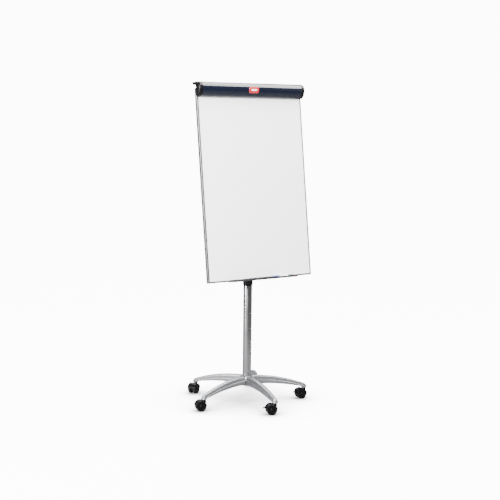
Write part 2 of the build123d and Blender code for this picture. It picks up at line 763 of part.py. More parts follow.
# ==== clamp bar ==============================================================================
# A D-shaped section: flat foot, bulging face, a small step, then a crown that rolls back to the top.
bar_foot = (BAR_BACK_D, BAR_LOW_S)
face_low = (14.0, BAR_LOW_S)
face_mid = (35.5, 1019.0)
face_high = (42.0, 1051.0)
crown_low = (41.0, 1052.5)
crown_mid = (31.0, 1069.5)
crown_back = (9.0, BAR_TOP_S)
bar_head = (BAR_BACK_D, BAR_TOP_S)

with BuildSketch() as bar_section:
    with BuildLine():
        Line(bar_foot, face_low)
        ThreePointArc(face_low, face_mid, face_high)
        Line(face_high, crown_low)
        ThreePointArc(crown_low, crown_mid, crown_back)
        Polyline(crown_back, bar_head, bar_foot)
    make_face()

with BuildSketch() as bar_cavity:   # open at the back, for the pad and its pegs
    add(bar_section.sketch)
    offset(amount=-BAR_WALL, kind=Kind.INTERSECTION)
    with Locations((BAR_BACK_D, (BAR_LOW_S + BAR_TOP_S) / 2)):
        Rectangle(4 * BAR_WALL, BAR_TOP_S - BAR_LOW_S - 2 * BAR_WALL)

with BuildSketch() as cap_section:   # the same outline without the step
    with BuildLine():
        Line(bar_foot, face_low)
        ThreePointArc(face_low, face_mid, face_high)
        ThreePointArc(face_high, crown_mid, crown_back)
        Polyline(crown_back, bar_head, bar_foot)
    make_face()

with BuildSketch() as cap_cavity:
    add(cap_section.sketch)
    offset(amount=-BAR_WALL - 0.4, kind=Kind.INTERSECTION)

with BuildSketch() as badge_section:
    add(bar_section.sketch)
    offset(amount=BADGE_T, kind=Kind.INTERSECTION)
    add(bar_section.sketch, mode=Mode.SUBTRACT)

with BuildPart() as clamp_bar:
    with BuildSketch(side_plane):
        add(bar_section.sketch)
        add(bar_cavity.sketch, mode=Mode.SUBTRACT)
    extrude(amount=BAR_HALF, both=True)
save(clamp_bar, "clamp_bar")

for side, side_name in ((-1, "left"), (1, "right")):
    cap_in = side * BAR_HALF
    cap_out = side * BAR_END_HALF
    with BuildPart() as end_cap:
        with BuildSketch(side_at(max(cap_in, cap_out))):
            add(cap_section.sketch)
        extrude(amount=BAR_END_HALF - BAR_HALF)
        with BuildSketch(side_at(max(cap_in, cap_out - side * 3))):
            add(cap_cavity.sketch)
        extrude(amount=BAR_END_HALF - BAR_HALF - 3, mode=Mode.SUBTRACT)
        ear_in_x = side * (BAR_HALF + 2)
        ear_out_x = side * (BAR_END_HALF - 1)
        with BuildSketch(side_at(max(ear_in_x, ear_out_x))):
            with BuildLine():
                Polyline((4, BAR_TOP_S), (HINGE_D, HINGE_S + EAR_R), (HINGE_D - EAR_R, HINGE_S))
                Polyline((HINGE_D - EAR_R, HINGE_S), (HINGE_D, HINGE_S - EAR_R), (4, HINGE_S - 16), (4, BAR_TOP_S))
            make_face()
            with Locations((HINGE_D, HINGE_S)):
                Circle(EAR_R)
        extrude(amount=abs(ear_out_x - ear_in_x))
        pin_hole_x = side * (pin_end + 1)
        with BuildSketch(side_at(max(ear_in_x, pin_hole_x))):
            with Locations((HINGE_D, HINGE_S)):
                Circle(HINGE_PIN_R + FREE_FIT)
        extrude(amount=abs(pin_hole_x - ear_in_x), mode=Mode.SUBTRACT)
    save(end_cap, f"clamp_end_{side_name}")

# raised badge that follows the bar's face
with BuildPart() as badge:
    with BuildSketch(side_plane):
        add(badge_section.sketch)
    extrude(amount=BADGE_W / 2, both=True)
    with BuildSketch(board_plane.offset(20)):
        with Locations((0, BADGE_S)):
            RectangleRounded(BADGE_W, BADGE_H, 8)
    extrude(amount=60, mode=Mode.INTERSECT)
save(badge, "badge")

# rubber strip along the bar's foot that grips the sheets
strip_back = panel_front + SLIDE_GAP
with BuildPart() as grip_strip:
    with BuildSketch(side_plane):
        with Locations(((strip_back + BAR_BACK_D) / 2, BAR_LOW_S + 2.2)):
            Rectangle(BAR_BACK_D - strip_back, 4.4)
        with Locations(((strip_back + 8) / 2, BAR_LOW_S + BAR_WALL + 1.1)):
            Rectangle(8 - strip_back, 2.2)
    extrude(amount=BAR_HALF - 2, both=True)
save(grip_strip, "grip_strip")

# ==== markers ================================================================================
# Capped whiteboard markers lying along the tray: (name, lane depth, cap's outer end, cap side)
for marker_name, lane_d, cap_end, side in (
    ("marker_blue", 9.5, 70.0, -1),
    ("marker_red", 25.5, 108.0, -1),
    ("marker_black", 41.5, 192.0, 1),
):
    axis_s = MARKER_R + 0.2
    ends = [cap_end - side * along for along in (0, MARKER_CAP_L, MARKER_L - MARKER_PLUG_L, MARKER_L)]
    with BuildPart() as marker:
        for near, far, radius in zip(ends, ends[1:], (MARKER_R, MARKER_R - 0.7, MARKER_R - 2)):
            with BuildSketch(side_at(max(near, far))):
                with Locations((lane_d, axis_s)):
                    Circle(radius)
            extrude(amount=abs(near - far))
    save(marker, marker_name)
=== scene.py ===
"""Mobile flipchart easel: finishes, fine shapes, camera and studio.

Metres, in the CAD model's frame: +Z up, origin on the floor under the column, writing side towards -Y.
"""
import json
from math import cos, pi, radians, sin

import bmesh
import bpy
import numpy as np
from mathutils import Matrix, Vector


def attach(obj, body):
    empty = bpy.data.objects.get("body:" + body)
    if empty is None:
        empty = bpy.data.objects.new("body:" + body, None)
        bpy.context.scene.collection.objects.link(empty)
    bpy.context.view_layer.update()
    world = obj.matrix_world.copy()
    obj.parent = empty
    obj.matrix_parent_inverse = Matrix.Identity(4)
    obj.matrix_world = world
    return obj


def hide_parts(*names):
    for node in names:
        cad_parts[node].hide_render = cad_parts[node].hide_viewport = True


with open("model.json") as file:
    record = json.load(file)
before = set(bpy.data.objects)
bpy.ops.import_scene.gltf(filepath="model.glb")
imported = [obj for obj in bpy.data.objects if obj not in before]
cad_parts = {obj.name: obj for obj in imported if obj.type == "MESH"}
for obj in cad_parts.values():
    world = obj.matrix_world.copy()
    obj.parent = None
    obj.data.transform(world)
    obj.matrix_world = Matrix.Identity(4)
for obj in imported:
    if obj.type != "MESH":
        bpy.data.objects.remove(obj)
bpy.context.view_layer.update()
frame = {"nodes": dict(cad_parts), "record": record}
nodes = frame["nodes"]


# ---- the studio: camera ---------------------------------------------------------------------
# A long lens a little above the tray looks slightly up the board, turned to its left side.

CAMERA_AZIMUTH, CAMERA_PITCH, CAMERA_ROLL = radians(-34.386), radians(7.141), radians(0.687)
CAMERA_DISTANCE = 5.890
CAMERA_AIM = (0.0098, 0.8588)     # sideways and up from the origin
LENS_MM = 75.78

side = Vector((cos(CAMERA_AZIMUTH), sin(CAMERA_AZIMUTH), 0))
back = Vector((
    sin(CAMERA_AZIMUTH) * cos(CAMERA_PITCH),
    -cos(CAMERA_AZIMUTH) * cos(CAMERA_PITCH),
    sin(CAMERA_PITCH),
))
up = back.cross(side)
right = side * cos(CAMERA_ROLL) + up * sin(CAMERA_ROLL)
upward = back.cross(right)
place = side * CAMERA_AIM[0] + Vector((0, 0, CAMERA_AIM[1])) + back * CAMERA_DISTANCE
camera = bpy.data.objects.new("camera", bpy.data.cameras.new("camera"))
camera.data.lens = LENS_MM
camera.data.sensor_width = 36.0
camera.matrix_world = Matrix((
    (right.x, upward.x, back.x, place.x),
    (right.y, upward.y, back.y, place.y),
    (right.z, upward.z, back.z, place.z),
    (0, 0, 0, 1),
))
bpy.context.scene.collection.objects.link(camera)
bpy.context.scene.camera = camera


# ---- the studio: floor and light --------------------------------------------------------------
# A pale sweep of paper, an even room and five soft boxes, of which the one at the left is the key.


def linear(code):
    """An sRGB hex colour such as '8A8C8E' as linear red, green, blue and 1."""
    s = np.array([int(code[i:i + 2], 16) for i in (0, 2, 4)]) / 255
    rgb = np.where(s <= 0.04045, s / 12.92, ((s + 0.055) / 1.055) ** 2.4)
    return (*rgb.tolist(), 1.0)


def node(tree, kind, settings=(), **links):
    """Adds a node; settings are properties, links are inputs, named or numbered, fed by sockets or set to values."""
    made = tree.nodes.new(kind)
    for name, value in dict(settings).items():
        setattr(made, name, value)
    for name, value in links.items():
        numbered = name[0] == "i" and name[1:].isdigit()
        socket = made.inputs[int(name[1:]) if numbered else name.replace("_", " ")]
        if isinstance(value, bpy.types.NodeSocket):
            tree.links.new(value, socket)
        else:
            socket.default_value = value
    return made


def material(name, colour, metallic=0.0, roughness=0.5, **sockets):
    """A named material with a Principled shader; returns it with its node tree and shader."""
    made = bpy.data.materials.new(name)
    made.use_nodes = True
    shader = made.node_tree.nodes["Principled BSDF"]
    shader.inputs["Base Color"].default_value = linear(colour)
    shader.inputs["Metallic"].default_value = metallic
    shader.inputs["Roughness"].default_value = roughness
    for socket, value in sockets.items():
        shader.inputs[socket.replace("_", " ")].default_value = value
    return made, made.node_tree, shader


def mesh_piece(name, verts, blocks, finish):
    """A mesh object from an array of vertices (n, 3) and blocks of faces, each block an array of corner numbers."""
    data = bpy.data.meshes.new(name)
    data.from_pydata(verts.tolist(), [], [face for block in blocks for face in block.tolist()])
    data.validate()
    data.materials.append(finish)
    piece = bpy.data.objects.new(name, data)
    bpy.context.scene.collection.objects.link(piece)
    return piece


def shaded(piece, sharp=30):
    """Shades a piece smooth, but for edges that turn by more than an angle in degrees."""
    piece.data.polygons.foreach_set("use_smooth", [True] * len(piece.data.polygons))
    piece.data.set_sharp_from_angle(angle=radians(sharp))
    return piece


# the paper glows for the eye alone, as a background lit by itself does, so it doesn't wash over the object; near the
# object the glow is dimmed by ambient occlusion, which paints soft shadows on the paper
PAPER_GLOW = 12.0
PAINTED_SHADOW_REACH, PAINTED_SHADOW_POWER = 0.45, 4.0     # how far off an object darkens the paper's glow, a painted shadow, and how steeply
paper, tree, shader = material("seamless paper", "787878", roughness=0.95, Emission_Color=(1, 1, 1, 1))
seen = node(tree, "ShaderNodeLightPath").outputs["Is Camera Ray"]
# ambient occlusion dims the paper's glow under and around the object: a painted contact shadow, not a cast one
occlusion_for_painted_shadow = node(tree, "ShaderNodeAmbientOcclusion", {"samples": 8}, Distance=PAINTED_SHADOW_REACH).outputs["AO"]
painted_shadow = node(tree, "ShaderNodeMath", {"operation": "POWER"}, i0=occlusion_for_painted_shadow, i1=PAINTED_SHADOW_POWER).outputs[0]
glow_with_painted_shadow = node(tree, "ShaderNodeMath", {"operation": "MULTIPLY"}, i0=painted_shadow, i1=PAPER_GLOW).outputs[0]
glow = node(tree, "ShaderNodeMath", {"operation": "MULTIPLY"}, i0=glow_with_painted_shadow, i1=seen)
tree.links.new(glow.outputs[0], shader.inputs["Emission Strength"])
SWEEP_R, SWEEP_FRONT, SWEEP_BACK, SWEEP_HALF, SWEEP_TOP = 2.0, -9.0, 6.0, 14.0, 9.0
turn = np.linspace(0, pi / 2, 24)
run_y = np.concatenate(([SWEEP_FRONT], SWEEP_BACK + SWEEP_R * np.sin(turn), [SWEEP_BACK + SWEEP_R]))
run_z = np.concatenate(([0.0], SWEEP_R - SWEEP_R * np.cos(turn), [SWEEP_TOP]))
sweep = np.stack([np.stack([np.full_like(run_y, x), run_y, run_z], 1) for x in (-SWEEP_HALF, SWEEP_HALF)])
near = np.arange(len(run_y) - 1)
far = near + len(run_y)
strip = np.stack([near, far, far + 1, near + 1], 1)
shaded(mesh_piece("studio_floor", sweep.reshape(-1, 3), [strip], paper))

# the room is dim in reflections, and white where it is seen past the paper
ROOM_LIGHT = 0.30
world = bpy.data.worlds.new("studio")
world.use_nodes = True
tree = world.node_tree
room = tree.nodes["Background"]
room.inputs["Color"].default_value = (1.0, 1.0, 1.0, 1.0)
seen_room = node(tree, "ShaderNodeLightPath").outputs["Is Camera Ray"]
room_level = node(tree, "ShaderNodeMapRange", Value=seen_room, To_Min=ROOM_LIGHT, To_Max=PAPER_GLOW).outputs[0]
tree.links.new(room_level, room.inputs["Strength"])
bpy.context.scene.world = world

# each lamp's name, place, aim, width in metres and power in watts
for lamp_name, spot, aim, size, watts in (
    ("key_softbox", (-3.9, -2.9, 2.9), (0, 0, 0.9), 1.7, 1350.0),
    ("fill_softbox", (3.6, -2.4, 2.4), (0, 0, 0.9), 1.4, 30.0),
    ("top_softbox", (1.9, -0.7, 4.4), (0, 0, 0.6), 2.4, 620.0),
    ("side_softbox", (-4.0, 0.0, 1.5), (0, 0, 0.8), 1.3, 290.0),
    ("back_softbox", (1.2, 3.4, 4.2), (0, 0, 0.9), 3.2, 380.0),
):
    lamp = bpy.data.lights.new(lamp_name, "AREA")
    lamp.shape = "SQUARE"
    lamp.size = size
    lamp.energy = watts
    holder = bpy.data.objects.new(lamp_name, lamp)
    holder.location = spot
    holder.rotation_euler = (Vector(spot) - Vector(aim)).to_track_quat("Z", "Y").to_euler()
    bpy.context.scene.collection.objects.link(holder)


# ---- the star base ------------------------------------------------------------------------------
# One aluminium casting: five legs, each a flange with a narrower rounded spine and a hollow sole,
# run into a hub. It is fettled and sprayed satin silver, and the column stands in its hub.


def pattern(tree, stretch=(1.0, 1.0, 1.0)):
    """The piece's own coordinates, stretched per axis."""
    place = node(tree, "ShaderNodeTexCoord")
    return node(tree, "ShaderNodeMapping", i0=place.outputs["Object"], i3=stretch).outputs[0]


def grain(tree, where, size_mm, detail=2.0, rough=0.5):
    """A noise whose features are about size_mm across; returns its factor."""
    noise = node(tree, "ShaderNodeTexNoise", Vector=where, Scale=1000.0 / size_mm, Detail=detail, Roughness=rough)
    return noise.outputs["Fac"]


def spread(tree, factor, low, high):
    """A 0 to 1 factor brought between two values, with the middle of the noise stretched out."""
    widened = node(tree, "ShaderNodeMapRange", Value=factor, From_Min=0.3, From_Max=0.7, To_Min=low, To_Max=high)
    return widened.outputs[0]


def tint(tree, factor, dark, light):
    """A colour between two hex codes."""
    mixer = node(tree, "ShaderNodeMix", {"data_type": "RGBA"}, i0=factor, i6=linear(dark), i7=linear(light))
    return mixer.outputs[2]


def relief(tree, shader, height, depth_mm):
    """Bump of a given depth from a height."""
    bump = node(tree, "ShaderNodeBump", Strength=1.0, Distance=depth_mm / 1000.0, Height=height)
    tree.links.new(bump.outputs[0], shader.inputs["Normal"])


# Satin silver spray over cast aluminium: the flake gives a soft, broad highlight, the casting a faint unevenness.
# The flake is drawn coarser than the real one, which is too fine to show.
cast_paint, tree, shader = material("silver sprayed cast aluminium", "727375", metallic=0.92, roughness=0.32)
where = pattern(tree)
flake = grain(tree, where, 0.9, 3.0)
skin_wave = grain(tree, where, 9.0, 2.0)
tree.links.new(tint(tree, flake, "707174", "8A8B8D"), shader.inputs["Base Color"])
tree.links.new(spread(tree, skin_wave, 0.34, 0.43), shader.inputs["Roughness"])
relief(tree, shader, skin_wave, 0.02)

LEG_REACH = 0.3316                            # from the column to each castor stem
ROOT_FLANGE, TIP_FLANGE = 0.023, 0.0175       # half widths at the column and at the stem
ROOT_SPINE, TIP_SPINE = 0.019, 0.0125
LEG_ANGLES = [radians(47.4 + 72 * i) for i in range(5)]


def arc_through(p, q, s):
    """Height of the circle through three (r, z) points, as a function of r: centre from the two chords' bisectors."""
    (x1, y1), (x2, y2), (x3, y3) = p, q, s
    lines = 2 * np.array([[x2 - x1, y2 - y1], [x3 - x1, y3 - y1]])
    first = x1 ** 2 + y1 ** 2
    cx, cy = np.linalg.solve(lines, [x2 ** 2 + y2 ** 2 - first, x3 ** 2 + y3 ** 2 - first])
    radius = np.hypot(x1 - cx, y1 - cy)
    return lambda r: cy + np.sqrt(radius ** 2 - (r - cx) ** 2)


def rounded(points, radii, steps=4):
    """A closed outline with its corners rounded: each corner becomes a quadratic curve between two points one
    radius away along its edges, so stations of a sweep keep the same count. points is (..., n, 2)."""
    p = np.asarray(points, float)
    before, after = np.roll(p, 1, -2) - p, np.roll(p, -1, -2) - p
    reach = np.asarray(radii, float)[..., None]
    a = p + before * np.minimum(reach / np.maximum(np.linalg.norm(before, axis=-1, keepdims=True), 1e-9), 0.49)
    b = p + after * np.minimum(reach / np.maximum(np.linalg.norm(after, axis=-1, keepdims=True), 1e-9), 0.49)
    t = np.linspace(0, 1, steps)[:, None]
    curve = (1 - t) ** 2 * a[..., None, :] + 2 * t * (1 - t) * p[..., None, :] + t ** 2 * b[..., None, :]
    return curve.reshape(*p.shape[:-2], -1, 2)


def skin(grid, close_rows=False, caps=False):
    """Vertices and blocks of faces of a (rows, columns, 3) grid whose columns wrap round: quads between rows, and
    with caps a flat face on the first and last row."""
    rows, cols = grid.shape[:2]
    r = np.arange(rows if close_rows else rows - 1)[:, None]
    c = np.arange(cols)[None, :]
    r2, c2 = (r + 1) % rows, (c + 1) % cols
    quads = np.stack([r * cols + c, r * cols + c2, r2 * cols + c2, r2 * cols + c], -1).reshape(-1, 4)
    ends = [np.arange(cols)[None, ::-1], (rows - 1) * cols + np.arange(cols)[None]] if caps else []
    return grid.reshape(-1, 3), [quads, *ends]


def joined(*parts):
    """Several (vertices, blocks of faces) pairs as one pair: each block's numbers move up by the vertices before it."""
    starts = np.cumsum([0] + [len(verts) for verts, _ in parts])
    blocks = [block + start for (_, faces), start in zip(parts, starts) for block in faces]
    return np.concatenate([verts for verts, _ in parts]), blocks


def moved(part, turn=0.0, shift=(0, 0, 0)):
    """A (vertices, blocks of faces) pair turned about Z and then shifted."""
    verts, blocks = part
    c, s = cos(turn), sin(turn)
    return verts @ np.array([[c, s, 0], [-s, c, 0], [0, 0, 1]]) + np.asarray(shift), blocks


def lathe(profile, centre=(0, 0, 0), axis=(0, 0, 1), sides=96):
    """A closed (radius, height) outline turned about an axis through a centre."""
    axis = Vector(axis).normalized()
    first = axis.orthogonal().normalized()
    second = axis.cross(first)
    p = np.asarray(profile, float)
    a = np.linspace(0, 2 * pi, sides, endpoint=False)
    ring = np.cos(a)[:, None] * np.array(first) + np.sin(a)[:, None] * np.array(second)
    grid = np.array(centre) + p[:, None, 0, None] * ring[None] + p[:, None, 1, None] * np.array(axis)
    return skin(grid, close_rows=True)


def closed(piece):
    """Merges a piece's seam and pole points and points its faces outwards."""
    work = bmesh.new()
    work.from_mesh(piece.data)
    bmesh.ops.remove_doubles(work, verts=work.verts, dist=1e-6)
    bmesh.ops.dissolve_degenerate(work, dist=1e-7, edges=work.edges)
    bmesh.ops.recalc_face_normals(work, faces=work.faces)
    work.to_mesh(piece.data)
    work.free()
    return piece


def build(name, part, finish, body, slot, *replaced, sharp=35):
    """Makes a finished piece of a (vertices, blocks) pair that rides on a body and stands for its CAD nodes."""
    piece = shaded(closed(mesh_piece(name, *part, finish)), sharp)
    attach(piece, body)
    if replaced:
        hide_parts(*replaced)
    return piece


leg_top = arc_through((0, 0.1415), (0.207, 0.1238), (0.360, 0.0758))
leg_ledge = arc_through((0, 0.120), (0.207, 0.106), (0.360, 0.066))
leg_sole = arc_through((0, 0.0942), (0.207, 0.0892), (0.360, 0.0602))
straight = np.linspace(0.030, LEG_REACH, 42)
swing = np.linspace(0, pi / 2, 12)[1:]


def leg_stations(tip_half):
    """Radii of a leg layer's stations and how far each is narrowed towards the round tip."""
    r = np.concatenate([straight, LEG_REACH + tip_half * np.sin(swing)])
    shrink = np.concatenate([np.ones_like(straight), np.maximum(np.cos(swing), 1e-4)])
    return r, shrink


def leg_layer(r, half, low, high, roof, radii):
    """A leg layer: at each radius a closed outline between low and high, with a recess up to roof in its sole."""
    wall = np.minimum(0.0042, half * 0.45)
    inner = half - wall
    draft = np.minimum(0.0012, half * 0.1)
    points = np.stack([
        np.stack([-inner, roof], -1), np.stack([inner, roof], -1),
        np.stack([inner, low], -1), np.stack([half, low], -1),
        np.stack([half - draft, high], -1), np.stack([-half + draft, high], -1),
        np.stack([-half, low], -1), np.stack([-inner, low], -1),
    ], 1)
    loop = rounded(points, radii, 5)
    return skin(np.concatenate([np.broadcast_to(r[:, None, None], loop.shape[:2] + (1,)), loop], -1), caps=True)


def eased(x, a, b):
    """0 below a, 1 above b, and a smooth cubic between."""
    t = np.clip((x - a) / (b - a), 0, 1)
    return t * t * (3 - 2 * t)


r, shrink = leg_stations(TIP_FLANGE)
flange_half = (ROOT_FLANGE + (TIP_FLANGE - ROOT_FLANGE) * np.minimum(r, LEG_REACH) / LEG_REACH) * shrink
hollow = eased(r, 0.055, 0.085) * (1 - eased(r, 0.285, 0.312))
low, high = leg_sole(r), leg_ledge(r)
flange = leg_layer(r, flange_half, low, high, low + 0.0002 + hollow * (high - low - 0.003),
                   [0.0015, 0.0015, 0.0008, 0.0015, 0.0035, 0.0035, 0.0015, 0.0008])
r, shrink = leg_stations(TIP_SPINE)
spine_half = (ROOT_SPINE + (TIP_SPINE - ROOT_SPINE) * np.minimum(r, LEG_REACH) / LEG_REACH) * shrink
low, high = leg_ledge(r) - 0.0045, leg_top(r)
high = high - 0.004 * eased(r, LEG_REACH + 0.004, LEG_REACH + TIP_SPINE)
spine = leg_layer(r, spine_half, low, high, low + 0.0002,
                  [0.0004, 0.0004, 0.0004, 0.0004, 0.008, 0.008, 0.0004, 0.0004])
boss = lathe([(0.0082, 0.0622), (0.0145, 0.0622), (0.0154, 0.0632), (0.0154, 0.0765), (0.0082, 0.0765)],
             (LEG_REACH, 0, 0), sides=48)
hub = lathe([(0.0255, 0.0893), (0.0360, 0.0893), (0.0368, 0.0905), (0.0368, 0.1290), (0.0350, 0.1360),
             (0.0312, 0.1402), (0.0298, 0.1423), (0.0285, 0.1429), (0.0254, 0.1429), (0.0251, 0.1420),
             (0.0251, 0.1005), (0.0060, 0.1002),
             (0.0056, 0.0900), (0.0060, 0.0893)])

legs = [moved(joined(flange, spine, boss), a) for a in LEG_ANGLES]
build("base_casting", joined(hub, *legs), cast_paint, "base", "silver_casting", "star_base", sharp=38)


# ---- the column and mast -----------------------------------------------------------------------------
# A steel tube pressed into the hub and sprayed satin silver. Its moulded black collar carries a screw
# knob that bears on the thinner mast tube, which slides up and down inside.

# The base's silver on drawn steel tube: smoother, so the highlight down the tube is narrow and bright.
tube_paint, tree, shader = material("silver sprayed steel tube", "8C8C8E", metallic=1.0, roughness=0.24)
where = pattern(tree, (1.0, 1.0, 0.12))
flake = grain(tree, where, 0.8, 3.0)
tree.links.new(tint(tree, flake, "858588", "929294"), shader.inputs["Base Color"])
tree.links.new(spread(tree, grain(tree, where, 14.0), 0.21, 0.28), shader.inputs["Roughness"])
relief(tree, shader, flake, 0.0006)

# Moulded black ABS: spark-eroded texture breaks the shine into a soft grey sheen.
black_abs, tree, shader = material("textured black ABS", "050507", roughness=0.38, Specular_IOR_Level=0.16)
spark = grain(tree, pattern(tree), 0.6, 3.0, 0.6)
tree.links.new(tint(tree, spark, "050506", "09090B"), shader.inputs["Base Color"])
tree.links.new(spread(tree, spark, 0.32, 0.46), shader.inputs["Roughness"])
relief(tree, shader, spark, 0.03)

tube = lathe([
    (0.0235, 0.1002), (0.0250, 0.1002), (0.0250, 0.6566), (0.0247, 0.6576), (0.0240, 0.6579), (0.0235, 0.6576),
])
build("column_shell", tube, tube_paint, "base", "silver_tube", "column_tube")

BOSS_Y, KNOB_Y, KNOB_HEIGHT = 0.0245, 0.037, 0.700
collar = lathe([
    (0.0218, 0.6281), (0.0234, 0.6281), (0.0234, 0.6581), (0.0252, 0.6581), (0.0256, 0.6585), (0.0281, 0.6645),
    (0.0285, 0.6660), (0.0285, 0.7325), (0.0281, 0.7341), (0.0272, 0.7349), (0.0222, 0.7349), (0.0218, 0.7345),
])
boss_ring = lathe([(0.0042, 0.0), (0.0108, 0.0), (0.0110, 0.0112), (0.0104, 0.0119), (0.0042, 0.0119)],
                  (0, BOSS_Y, KNOB_HEIGHT), (0, 1, 0), sides=40)
build("collar_moulding", joined(collar, boss_ring), black_abs, "base", "black_plastic", "height_collar")


def fluted(profile, centre, axis, flutes, sides=168):
    """A (radius, height, depth) outline turned about an axis, where depth is how far each flute cuts in: the flute
    is a raised cosine about a third of the pitch wide, and between flutes the rim keeps its radius."""
    axis = Vector(axis).normalized()
    first = axis.orthogonal().normalized()
    second = axis.cross(first)
    p = np.asarray(profile, float)
    a = np.linspace(0, 2 * pi, sides, endpoint=False)
    pitch = 2 * pi / flutes
    off = (a + pitch / 2) % pitch - pitch / 2
    cut = 0.5 + 0.5 * np.cos(np.clip(off / (0.29 * pitch), -1, 1) * pi)
    radius = p[:, None, 0] - p[:, None, 2] * cut
    ring = np.cos(a)[:, None] * np.array(first) + np.sin(a)[:, None] * np.array(second)
    grid = np.array(centre) + radius[..., None] * ring + p[:, None, 1, None] * np.array(axis)
    return skin(grid, close_rows=True)


def screw_knob(rim, thick, depth):
    """Outline of a fluted hand knob: dished face, rolled edge, straight rim, shallow hollow back."""
    return [
        (0.0, thick - 0.0012, 0), (rim * 0.42, thick - 0.0012, 0), (rim * 0.47, thick - 0.0002, 0),
        (rim * 0.60, thick, depth * 0.15), (rim - 0.0026, thick - 0.0002, depth * 0.75),
        (rim - 0.0012, thick - 0.0008, depth * 0.9), (rim - 0.0003, thick - 0.0020, depth),
        (rim, thick - 0.0034, depth), (rim, 0.0022, depth), (rim - 0.0006, 0.0006, depth),
        (rim - 0.0018, 0.0, depth), (rim * 0.55, 0.0, 0), (0.0, 0.0, 0),
    ]


stud = lathe([(0.0, -0.0167), (0.0038, -0.0167), (0.0040, -0.0162), (0.0040, 0.001), (0.0, 0.001)],
             (0, KNOB_Y, KNOB_HEIGHT), (0, 1, 0), sides=32)
lock = fluted(screw_knob(0.018, 0.020, 0.0025), (0, KNOB_Y, KNOB_HEIGHT), (0, 1, 0), 7)
build("height_knob_moulding", joined(lock, stud), black_abs, "height_knob", "black_plastic", "height_knob")

mast = lathe([(0.0185, 0.4401), (0.0200, 0.4403), (0.0200, 1.2174), (0.0197, 1.2179), (0.0185, 1.2179)])
build("mast_shell", mast, tube_paint, "mast", "silver_tube", "mast_tube")


# ---- the board --------------------------------------------------------------------------------------
# An enamelled steel sheet glued on a honeycomb panel, with a galvanised sheet behind, held in a frame
# of four anodised extrusions that meet on mitres.

# Natural anodised aluminium extrusion: a soft metal shine, broken by fine unevenness from the etch.
anodised, tree, shader = material("natural anodised aluminium", "808284", metallic=1.0, roughness=0.36)
die_lines = grain(tree, pattern(tree), 0.7, 4.0, 0.6)
tree.links.new(tint(tree, die_lines, "76777A", "8A8B8D"), shader.inputs["Base Color"])
tree.links.new(spread(tree, die_lines, 0.32, 0.42), shader.inputs["Roughness"])
relief(tree, shader, die_lines, 0.004)

# Vitreous enamel on steel: white under a glassy skin with a slow ripple.
enamel, tree, shader = material(
    "white vitreous enamel", "FBFBFC", roughness=0.28, IOR=1.5, Coat_Weight=0.5, Coat_Roughness=0.06)
ripple = grain(tree, pattern(tree), 28.0, 1.0)
tree.links.new(tint(tree, ripple, "FAFAFB", "FDFDFE"), shader.inputs["Base Color"])
tree.links.new(spread(tree, ripple, 0.25, 0.32), shader.inputs["Roughness"])
relief(tree, shader, ripple, 0.02)

# Galvanised backing sheet: grey crystals a centimetre or two across, each with its own shine.
galvanised, tree, shader = material("galvanised steel sheet", "A2A5A8", metallic=0.9, roughness=0.42)
spangle = node(tree, "ShaderNodeTexVoronoi", Vector=pattern(tree), Scale=1000.0 / 16.0)
crystal = node(tree, "ShaderNodeSeparateColor", i0=spangle.outputs["Color"]).outputs[0]
tree.links.new(tint(tree, crystal, "9EA1A4", "AAADB0"), shader.inputs["Base Color"])
dullness = node(tree, "ShaderNodeMapRange", Value=crystal, To_Min=0.34, To_Max=0.5).outputs[0]
tree.links.new(dullness, shader.inputs["Roughness"])

# Resin-bonded paper honeycomb between the two sheets: brown and dull.
honeycomb, tree, shader = material("kraft paper honeycomb", "B09A78", roughness=0.9)
tree.links.new(tint(tree, grain(tree, pattern(tree), 1.5, 4.0), "9C8765", "BCA683"), shader.inputs["Base Color"])

TILT_ANGLE = radians(7.5)
FOOT = np.array([0.0, -0.1335, 0.7124])
ACROSS = np.array([1.0, 0.0, 0.0])
UP_BOARD = np.array([0.0, sin(TILT_ANGLE), cos(TILT_ANGLE)])
OUT_BOARD = np.array([0.0, -cos(TILT_ANGLE), sin(TILT_ANGLE)])


def on_board(x, s, d):
    """Points given across, up and out from the board, as points of the model; the three broadcast together."""
    x, s, d = (np.asarray(v, float)[..., None] for v in (x, s, d))
    return FOOT + x * ACROSS + s * UP_BOARD + d * OUT_BOARD


def along_x(section, stations):
    """A (d, s) outline, or one outline per station, carried across the board to each x of stations, ends closed."""
    section = np.broadcast_to(section, (len(stations),) + np.shape(section)[-2:])
    return skin(on_board(np.asarray(stations)[:, None], section[..., 1], section[..., 0]), caps=True)


FRAME_WIDTH, FRAME_HEIGHT, MITRE_GAP = 0.690, 1.045, 0.00012
frame_outline = rounded(
    [(0, 0), (0.0095, 0), (0.0095, -0.0014), (0.0055, -0.0014),
     (0.0055, -0.0176), (0.0095, -0.0176), (0.0095, -0.019), (0, -0.019)],
    [0.0022, 0.0005, 0.0002, 0.0002, 0.0002, 0.0002, 0.0004, 0.0012], 6)


def frame_member(corner, along, inward, length):
    """The frame's section (inward, out) carried along one side; each end is cut on the mitre, so a point inward by
    some distance starts and stops that much nearer the middle."""
    inset = frame_outline[:, 0]
    starts = np.stack([inset + MITRE_GAP, length - inset - MITRE_GAP])
    t = np.linspace(0, 1, 5)[:, None]
    rows = (1 - t) * starts[0] + t * starts[1]
    outline = corner + inset[:, None] * inward + frame_outline[:, 1:] * OUT_BOARD
    return skin(outline + rows[..., None] * along, caps=True)


low_left, low_right = on_board(-FRAME_WIDTH / 2, 0, 0), on_board(FRAME_WIDTH / 2, 0, 0)
high_left = on_board(-FRAME_WIDTH / 2, FRAME_HEIGHT, 0)
for member, corner, along, inward, length in (
    ("left", low_left, UP_BOARD, ACROSS, FRAME_HEIGHT), ("right", low_right, UP_BOARD, -ACROSS, FRAME_HEIGHT),
    ("bottom", low_left, ACROSS, UP_BOARD, FRAME_WIDTH), ("top", high_left, ACROSS, -UP_BOARD, FRAME_WIDTH),
):
    section = frame_member(corner, along, inward, length)
    build(f"frame_{member}_section", section, anodised, "board", "anodised", f"frame_{member}")


